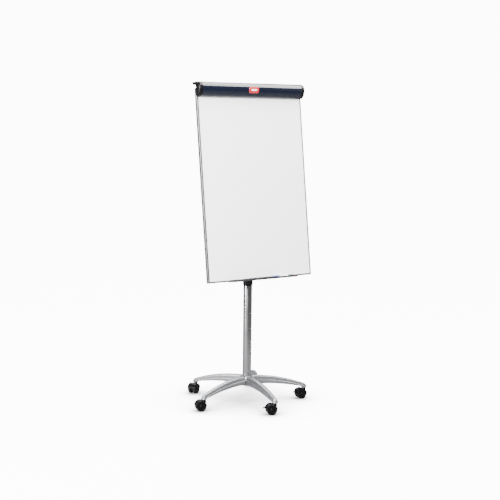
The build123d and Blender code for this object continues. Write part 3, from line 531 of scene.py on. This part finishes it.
# ---- the clamp bar ----------------------------------------------------------------------------------
# A navy lacquered aluminium section over the board's top edge: bulging face, a fine step, a crown rolled
# back. Moulded caps close its ends and turn on the hinge pins; a rubber strip inside grips the pad.

# Navy lacquer on aluminium: a deep colour with a soft gloss and a trace of orange peel.
navy, tree, shader = material("navy lacquered aluminium", "060A17", roughness=0.24, Specular_IOR_Level=0.42)
peel = grain(tree, pattern(tree), 7.0, 1.0)
tree.links.new(tint(tree, peel, "050915", "090E1E"), shader.inputs["Base Color"])
relief(tree, shader, peel, 0.001)

# Matt black rubber of the grip strip.
strip_rubber, tree, shader = material("matt black rubber", "1C1C1C", roughness=0.82)
dust = grain(tree, pattern(tree), 1.2, 4.0, 0.7)
tree.links.new(tint(tree, dust, "171717", "262626"), shader.inputs["Base Color"])
relief(tree, shader, dust, 0.03)

FACE_ARC = ((0.014, 0.997), (0.0355, 1.019), (0.042, 1.051))
CROWN_ARC = ((0.041, 1.0525), (0.031, 1.0695), (0.009, 1.077))


def circle_of(p, q, s):
    """Centre and radius of the circle through three points, from the two chords' bisectors."""
    p, q, s = map(np.asarray, (p, q, s))
    centre = np.linalg.solve(2 * np.array([q - p, s - p]), [q @ q - p @ p, s @ s - p @ p])
    return centre, np.linalg.norm(p - centre)


def arc_points(p, q, s, count):
    """Points at even angles on the arc from p through q to s."""
    centre, radius = circle_of(p, q, s)
    a, b, c = (np.arctan2(*(np.asarray(v) - centre)[::-1]) for v in (p, q, s))
    b, c = a + (b - a + pi) % (2 * pi) - pi, a + (c - a + pi) % (2 * pi) - pi
    angle = np.linspace(a, c, count)
    return centre + radius * np.stack([np.cos(angle), np.sin(angle)], 1)


def inner_side(line, wall):
    """An open line moved sideways by a wall's thickness, along its normals from central differences."""
    run = np.gradient(line, axis=0)
    run /= np.linalg.norm(run, axis=1, keepdims=True)
    return line + wall * np.stack([-run[:, 1], run[:, 0]], 1)


bar_line = np.concatenate([
    [(0.0005, 0.997), (0.006, 0.997), (0.0120, 0.997)], arc_points(*FACE_ARC, 26), arc_points(*CROWN_ARC, 20),
    [(0.0005, 1.077)],
])
bar_wall = inner_side(bar_line, 0.0022)
bar_wall[0, 0] = bar_wall[-1, 0] = 0.0005
bar_shape = np.concatenate([bar_line, bar_wall[::-1]])
bar_stations = np.concatenate([[-0.3258, -0.3256], np.linspace(-0.30, 0.30, 7), [0.3256, 0.3258]])
build("clamp_bar_section", along_x(bar_shape, bar_stations), navy, "clamp", "navy_lacquer", "clamp_bar", sharp=24)

# moulded end caps, rounded over at their outer ends, each with the ear that turns on the hinge pin
cap_line = np.concatenate([
    [(0.0005, 0.997), (0.006, 0.997), (0.012, 0.997)], arc_points(*FACE_ARC, 26),
    arc_points(FACE_ARC[2], CROWN_ARC[1], CROWN_ARC[2], 20)[1:], [(0.0005, 1.077)],
])
cap_middle = np.array([0.018, 1.036])
CAP_INNER, CAP_OUTER, CAP_ROUND = 0.3261, 0.3499, 0.009
turn_in = np.linspace(0, pi / 2, 10)
cap_x = np.concatenate([[CAP_INNER, CAP_INNER + 0.0003], CAP_OUTER - CAP_ROUND + CAP_ROUND * np.sin(turn_in)])
cap_in = np.concatenate([[0.0003, 0.0], CAP_ROUND * (1 - np.cos(turn_in))])
cap_reach = np.linalg.norm(cap_line - cap_middle, axis=1)
ear_outline = rounded(
    [(0.004, 1.077), (-0.004, 1.076), (-0.0106, 1.0736), (-0.0118, 1.068),
     (-0.0098, 1.0618), (-0.004, 1.060), (0.004, 1.052)],
    [0.0005, 0.002, 0.003, 0.003, 0.003, 0.002, 0.0005], 5)
for name, way in (("left", -1), ("right", 1)):
    rings = cap_middle + (cap_line - cap_middle) * (1 - cap_in[:, None] / cap_reach)[..., None]
    rings[..., 0] = np.maximum(rings[..., 0], 0.0005)
    cap_shell = along_x(rings, way * cap_x)
    ear = along_x(ear_outline, way * np.array([0.3281, 0.3489]))
    cap = joined(cap_shell, ear)
    build(f"clamp_cap_{name}", cap, black_abs, "clamp", "black_plastic", f"clamp_end_{name}", sharp=32)

# The badge is a blank glossy pad that follows the bar's face, its edge rolled over, with a pale inlay.
badge_red, tree, shader = material(
    "glossy red polystyrene", "A80A18", roughness=0.2, IOR=1.59, Coat_Weight=0.4, Coat_Roughness=0.05)
cloud = grain(tree, pattern(tree), 6.0, 1.0)
tree.links.new(tint(tree, cloud, "A40A17", "B00E1D"), shader.inputs["Base Color"])
relief(tree, shader, cloud, 0.01)


def polypropylene(colour, code):
    """Polished polypropylene of a colour, with the shallow sink marks of a thin moulding."""
    made, tree, shader = material(f"{colour} polypropylene", code, roughness=0.24, IOR=1.49)
    sink = grain(tree, pattern(tree), 5.0, 1.0)
    tree.links.new(spread(tree, sink, 0.20, 0.30), shader.inputs["Roughness"])
    relief(tree, shader, sink, 0.02)
    return made


white_plastic = polypropylene("white", "ECECEA")

BADGE_HALF, BADGE_LOW, BADGE_HIGH, BADGE_THICK = 0.0319, 1.0181, 1.0519, 0.0015
face_centre, face_radius = circle_of(*FACE_ARC)
badge_edge = rounded(
    [(-BADGE_HALF, BADGE_LOW), (BADGE_HALF, BADGE_LOW), (BADGE_HALF, BADGE_HIGH), (-BADGE_HALF, BADGE_HIGH)],
    [0.011] * 4, 12)
inlay_edge = rounded([(-0.0185, 1.0306), (0.0185, 1.0306), (0.0185, 1.0394), (-0.0185, 1.0394)], [0.0043] * 4, 8)


def on_bar(edge, rows):
    """An outline shrunk towards its middle by each row's scale and laid at its height above the bar's face, whose
    depth at a given s is the face circle's; first and last rows close it."""
    middle = edge.mean(0)
    scale, lift = (np.array(column)[:, None] for column in zip(*rows))
    at = middle + (edge - middle) * scale[..., None]
    depth = face_centre[0] + np.sqrt((face_radius + lift) ** 2 - (at[..., 1] - face_centre[1]) ** 2)
    return skin(on_board(at[..., 0], at[..., 1], depth), caps=True)


flat_rows = [(t, BADGE_THICK) for t in np.linspace(0.001, 0.93, 12)]
edge_rows = [(0.955, 0.0014), (0.985, 0.0010), (1.0, 0.0004), (1.0, -0.0002), (0.5, -0.0002), (0.001, -0.0002)]
build("badge_pad", on_bar(badge_edge, flat_rows + edge_rows), badge_red, "clamp", "red_badge", "badge")
inlay_rows = [(t, 0.0017) for t in np.linspace(0.001, 0.92, 8)] + [(1.0, 0.0016), (1.0, 0.0011), (0.001, 0.0011)]
build("badge_inlay", on_bar(inlay_edge, inlay_rows), white_plastic, "clamp", "nylon_white")


# ---- the pen tray -----------------------------------------------------------------------------------
# A satin dark grey moulding screwed under the board's lower edge, wide enough for three markers side by
# side. Its lip eases down towards both ends.

# Dark grey satin ABS: fine spark texture, so its sheen is soft and slightly cloudy.
tray_abs, tree, shader = material("satin grey ABS", "1E1F22", roughness=0.38, Specular_IOR_Level=0.35)
spark = grain(tree, pattern(tree), 0.6, 3.0, 0.6)
tree.links.new(tint(tree, spark, "1B1C1F", "232427"), shader.inputs["Base Color"])
tree.links.new(spread(tree, spark, 0.33, 0.45), shader.inputs["Roughness"])
relief(tree, shader, spark, 0.02)

TRAY_END, TRAY_FRONT, TRAY_THICK, TRAY_ROUND = 0.2218, 0.0518, 0.0020, 0.0138


def lip_height(x):
    """The lip's height: full near the middle, then falling in a straight line to the ends."""
    return 0.0109 - np.clip((np.abs(x) - 0.070) / 0.180, 0, 1) * 0.0069


plan = rounded([(-TRAY_END, 0.0002), (-TRAY_END, TRAY_FRONT), (TRAY_END, TRAY_FRONT), (TRAY_END, 0.0002)],
               [0.0008, TRAY_ROUND * 1.6, TRAY_ROUND * 1.6, 0.0008], 14)
segment = np.roll(plan, -1, 0) - plan
steps = np.where(np.hypot(*segment.T) > 0.02, 12, 1)     # the straight runs get more points, for the lip's slope
source = np.repeat(np.arange(len(plan)), steps)
along = (np.arange(steps.sum()) - np.repeat(np.cumsum(steps) - steps, steps)) / steps[source]
plan = plan[source] + segment[source] * along[:, None]
run = np.roll(plan, -1, 0) - np.roll(plan, 1, 0)
run /= np.linalg.norm(run, axis=1, keepdims=True)
inward = np.stack([run[:, 1], -run[:, 0]], 1)
lip = lip_height(plan[:, 0])
wall_rows = []
for depth_in, height in (
    (0.0004, -0.0019 + 0 * lip), (0.0, -0.0015 + 0 * lip), (0.0, lip - 0.0007), (0.0003, lip - 0.0002), (0.0010, lip),
    (TRAY_THICK - 0.0003, lip - 0.0002), (TRAY_THICK, lip - 0.0007), (TRAY_THICK, 0.0014 + 0 * lip),
    (TRAY_THICK + 0.0004, 0.0004 + 0 * lip), (TRAY_THICK + 0.0014, 0.0 + 0 * lip),
    (TRAY_THICK + 0.0014, -0.0019 + 0 * lip),
):
    at = plan + inward * depth_in
    wall_rows.append(on_board(at[:, 0], height, at[:, 1]))
wall = skin(np.stack(wall_rows), close_rows=True)
floor_edge = plan + inward * (TRAY_THICK + 0.0010)
slab = skin(np.stack([on_board(floor_edge[:, 0], h, floor_edge[:, 1]) for h in (-0.0019, -0.0001)]), caps=True)
build("pen_tray_moulding", joined(wall, slab), tray_abs, "board", "tray_grey", "pen_tray")


# ---- the markers ------------------------------------------------------------------------------------
# Capped whiteboard markers that lie in the tray: a glossy ink-coloured cap and end plug pushed on a
# white barrel.

ink_blue, ink_red, ink_black = (
    polypropylene("blue", "1C3A96"), polypropylene("red", "B4202A"), polypropylene("black", "1A1A1C"))
for colour, lane, cap_end, way, ink in (
    ("blue", 0.0095, 0.070, -1, ink_blue),
    ("red", 0.0255, 0.108, -1, ink_red),
    ("black", 0.0415, 0.192, 1, ink_black),
):
    base = on_board(cap_end, 0.0072, lane)
    axis = (-way, 0, 0)
    cap = lathe([
        (0.0, 0.0), (0.0040, 0.0), (0.0052, 0.0004), (0.0060, 0.0014), (0.0066, 0.0040), (0.0069, 0.0100),
        (0.0069, 0.0405), (0.0070, 0.0410), (0.0070, 0.0432), (0.0067, 0.0440), (0.0, 0.0440),
    ], base, axis, sides=40)
    plug = lathe([(0.0, 0.0975), (0.0050, 0.0975), (0.0050, 0.1020), (0.0044, 0.1034), (0.0030, 0.1039), (0.0, 0.1040)],
                 base, axis, sides=32)
    barrel = lathe([(0.0, 0.0436), (0.0063, 0.0436), (0.0063, 0.0965), (0.0058, 0.0980), (0.0, 0.0980)],
                   base, axis, sides=40)
    build(f"marker_{colour}_cap", joined(cap, plug), ink, f"marker_{colour}", f"marker_{colour}", f"marker_{colour}")
    build(f"marker_{colour}_barrel", barrel, white_plastic, f"marker_{colour}", "nylon_white")


# ---- the display arms ---------------------------------------------------------------------------------
# Bright zinc plated rods that pull out of the board's top corners to hang sheets on, each with a turned
# black knob pressed on its end.

# Bright zinc on rods, pins and screws: mirror-like but for drawing lines.
zinc, tree, shader = material("bright zinc plated steel", "C4C5C8", metallic=1.0, roughness=0.18)
draw = grain(tree, pattern(tree, (0.1, 1.0, 1.0)), 0.5, 2.0)
tree.links.new(spread(tree, draw, 0.14, 0.25), shader.inputs["Roughness"])
relief(tree, shader, draw, 0.003)

for name, way in (("left", -1), ("right", 1)):
    base = on_board(way * 0.3405, 1.071, -0.022)
    knob = lathe([
        (0.0041, 0.0002), (0.0066, 0.0002), (0.0076, 0.0006), (0.0080, 0.0016), (0.0080, 0.0064), (0.0077, 0.0080),
        (0.0069, 0.0092), (0.0056, 0.0098), (0.0040, 0.0100), (0.0, 0.0100), (0.0, 0.0062), (0.0041, 0.0061),
    ], base, (way, 0, 0), sides=64)
    build(f"arm_knob_{name}_moulding", knob, black_abs, f"arm_{name}", "black_plastic", f"arm_knob_{name}")


# ---- the tilt head ------------------------------------------------------------------------------------
# Behind the board a screw knob on the tilt bolt clamps the ears of the board's bracket to the tongue of
# the head that closes the mast.

TILT_PIVOT = np.array([0.0, -0.018, 1.250])
hub_neck = lathe([(0.0052, 0.0170), (0.0108, 0.0170), (0.0110, 0.0174), (0.0110, 0.0262), (0.0052, 0.0262)],
                 TILT_PIVOT, (1, 0, 0), sides=48)
tilt_grip = fluted(screw_knob(0.020, 0.020, 0.0028), TILT_PIVOT + (0.024, 0, 0), (1, 0, 0), 7)
build("tilt_knob_moulding", joined(hub_neck, tilt_grip), black_abs, "tilt_knob", "black_plastic", "tilt_knob")


# ---- the castors --------------------------------------------------------------------------------------
# Twin-wheel furniture castors on steel stems: a black nylon hood over two dished wheels with polyurethane
# treads. Two of them, at the front and at the right, have foot levers.

# Moulded nylon: black, its shine broken into patches by scuffs.
castor_nylon, tree, shader = material("black moulded nylon", "040405", roughness=0.33, Specular_IOR_Level=0.09)
where = pattern(tree)
scuff = grain(tree, where, 3.0, 4.0, 0.65)
tree.links.new(tint(tree, scuff, "030304", "060607"), shader.inputs["Base Color"])
tree.links.new(spread(tree, scuff, 0.26, 0.44), shader.inputs["Roughness"])
relief(tree, shader, grain(tree, where, 0.7, 2.0), 0.015)

# Polyurethane tread: duller than the hood, with fine floor dust pressed in.
tread, tree, shader = material("black polyurethane tread", "0C0C0D", roughness=0.6, Specular_IOR_Level=0.3)
dust = grain(tree, pattern(tree), 1.0, 4.0, 0.7)
tree.links.new(tint(tree, dust, "080809", "141415"), shader.inputs["Base Color"])
relief(tree, shader, dust, 0.02)

AXLE_HEIGHT, TRAIL = 0.029, 0.020     # the axle trails behind the stem
HOOD_RIM, WEB_DROP = 0.066, 0.28      # angles of the hood's edge above the axle and of its web below it
TRAILS = [radians(a) for a in (150, 205, 165, 160, 170)]     # the way each castor has come to rest
axle_spot = (TRAIL, 0, AXLE_HEIGHT)


def hood_arc(section, first, last, count=40):
    """A closed (radius, y) outline swung about the axle between two angles above the horizontal, ends closed."""
    angle = np.linspace(first, last, count)[:, None]
    loop = np.asarray(section, float)
    return skin(np.stack([
        TRAIL + loop[:, 0] * np.cos(angle),
        np.broadcast_to(loop[:, 1], (count, len(loop))),
        AXLE_HEIGHT + loop[:, 0] * np.sin(angle),
    ], -1), caps=True)


hood_section = rounded(
    [(0.0295, -0.0254), (0.0314, -0.0254), (0.0314, 0.0254), (0.0295, 0.0254)], [0.0004, 0.0028, 0.0028, 0.0004], 8)
hood_shell = hood_arc(hood_section, HOOD_RIM, pi - HOOD_RIM)
web_section = rounded([(0.0032, -0.0072), (0.0296, -0.0072), (0.0296, 0.0072), (0.0032, 0.0072)], [0.0003] * 4, 3)
web = hood_arc(web_section, -WEB_DROP, pi + WEB_DROP, 56)
neck = lathe([
    (0.0052, 0.0462), (0.0128, 0.0462), (0.0118, 0.0560), (0.0110, 0.0578), (0.0108, 0.0600), (0.0103, 0.0605),
    (0.0052, 0.0605),
], sides=48)


def plate(outline, rows):
    """A closed (x, z) outline laid at each row's y and shrunk about its middle by each row's scale, ends closed."""
    middle = outline.mean(0)
    y, scale = (np.array(column)[:, None] for column in zip(*rows))
    at = middle + (outline - middle) * scale[..., None]
    return skin(np.stack([at[..., 0], np.broadcast_to(y, at.shape[:2]), at[..., 1]], -1), caps=True)


ear_loop = rounded(
    [(0.0484, 0.0370), (0.0562, 0.0370), (0.0577, 0.0405), (0.0562, 0.0440), (0.0484, 0.0440)],
    [0.0005, 0.0025, 0.002, 0.0025, 0.0005], 5)
lever_ears = [plate(ear_loop, [(low, 1.0), (high, 1.0)]) for low, high in ((0.0074, 0.0099), (-0.0099, -0.0074))]
lever_loop = rounded(
    [(0.0522, 0.0375), (0.0547, 0.0372), (0.0670, 0.0374), (0.0680, 0.0390),
     (0.0672, 0.0411), (0.0547, 0.0433), (0.0514, 0.0420)],
    [0.001, 0.002, 0.001, 0.001, 0.0015, 0.002, 0.0015], 5)
lever_pad = plate(lever_loop, [(-0.0070, 0.86), (-0.0062, 1.0), (0.0062, 1.0), (0.0070, 0.86)])
# half a wheel and half a tread as (radius, distance from the hood's middle)
wheel_half = np.array([
    (0.0031, 0.0084), (0.0080, 0.0084), (0.0082, 0.0092), (0.0215, 0.0092), (0.0268, 0.0092), (0.0277, 0.0096),
    (0.0286, 0.0120), (0.02895, 0.0166), (0.0286, 0.0212), (0.0277, 0.0236), (0.0268, 0.0240), (0.0240, 0.0240),
    (0.0234, 0.0236), (0.0222, 0.0226), (0.0120, 0.0224), (0.0092, 0.0226), (0.0078, 0.0236), (0.0070, 0.0246),
    (0.0060, 0.0249), (0.0, 0.0250), (0.0, 0.0239), (0.0031, 0.0238),
])
tyre_half = np.array([
    (0.0270, 0.0094), (0.0279, 0.0096), (0.0287, 0.0120), (0.02899, 0.0166), (0.0287, 0.0212), (0.0279, 0.0236),
    (0.0270, 0.0238), (0.0264, 0.0166),
])
sides_of_axle = [np.array([1, way]) for way in (1, -1)]
wheels = joined(*(lathe(wheel_half * way, axle_spot, (0, 1, 0), sides=64) for way in sides_of_axle))
tyres = joined(*(lathe(tyre_half * way, axle_spot, (0, 1, 0), sides=64) for way in sides_of_axle))

for number, (leg, trail) in enumerate(zip(LEG_ANGLES, TRAILS), 1):
    stem = (LEG_REACH * cos(leg), LEG_REACH * sin(leg), 0)
    name = f"castor_{number}"
    braked = number > 3
    hood = joined(hood_shell, web, neck, *(lever_ears if braked else []))
    build(f"{name}_moulding", moved(hood, trail, stem), castor_nylon, name, "black_plastic", f"{name}_hood", sharp=32)
    rolling = f"{name}_wheels"
    build(f"{name}_wheel_pair", moved(wheels, trail, stem), castor_nylon, rolling, "wheel_black", rolling)
    build(f"{name}_treads", moved(tyres, trail, stem), tread, rolling, "rubber")
    if braked:
        lever = f"{name}_brake_lever"
        build(f"{name}_pedal", moved(lever_pad, trail, stem), castor_nylon, lever, "black_plastic", lever)


# ---- the rest of the CAD's parts keep their shapes ----------------------------------------------------
# Sheets, pins, screws, blocks and bushes: right as drawn, so each only gets its real finish.

finishes = {
    "silver_casting": cast_paint, "silver_tube": tube_paint, "bright_steel": zinc, "anodised": anodised,
    "white_enamel": enamel, "honeycomb": honeycomb, "galvanised": galvanised, "black_plastic": black_abs,
    "navy_lacquer": navy, "red_badge": badge_red, "rubber": strip_rubber, "tray_grey": tray_abs,
    "nylon_white": white_plastic, "wheel_black": castor_nylon,
    "marker_blue": ink_blue, "marker_red": ink_red, "marker_black": ink_black,
}
slot_of = {part["node"]: part["material_slot"] for part in frame["record"]["subparts"]}
for name, obj in nodes.items():
    obj.data.materials.clear()
    obj.data.materials.append(finishes[slot_of[name]])
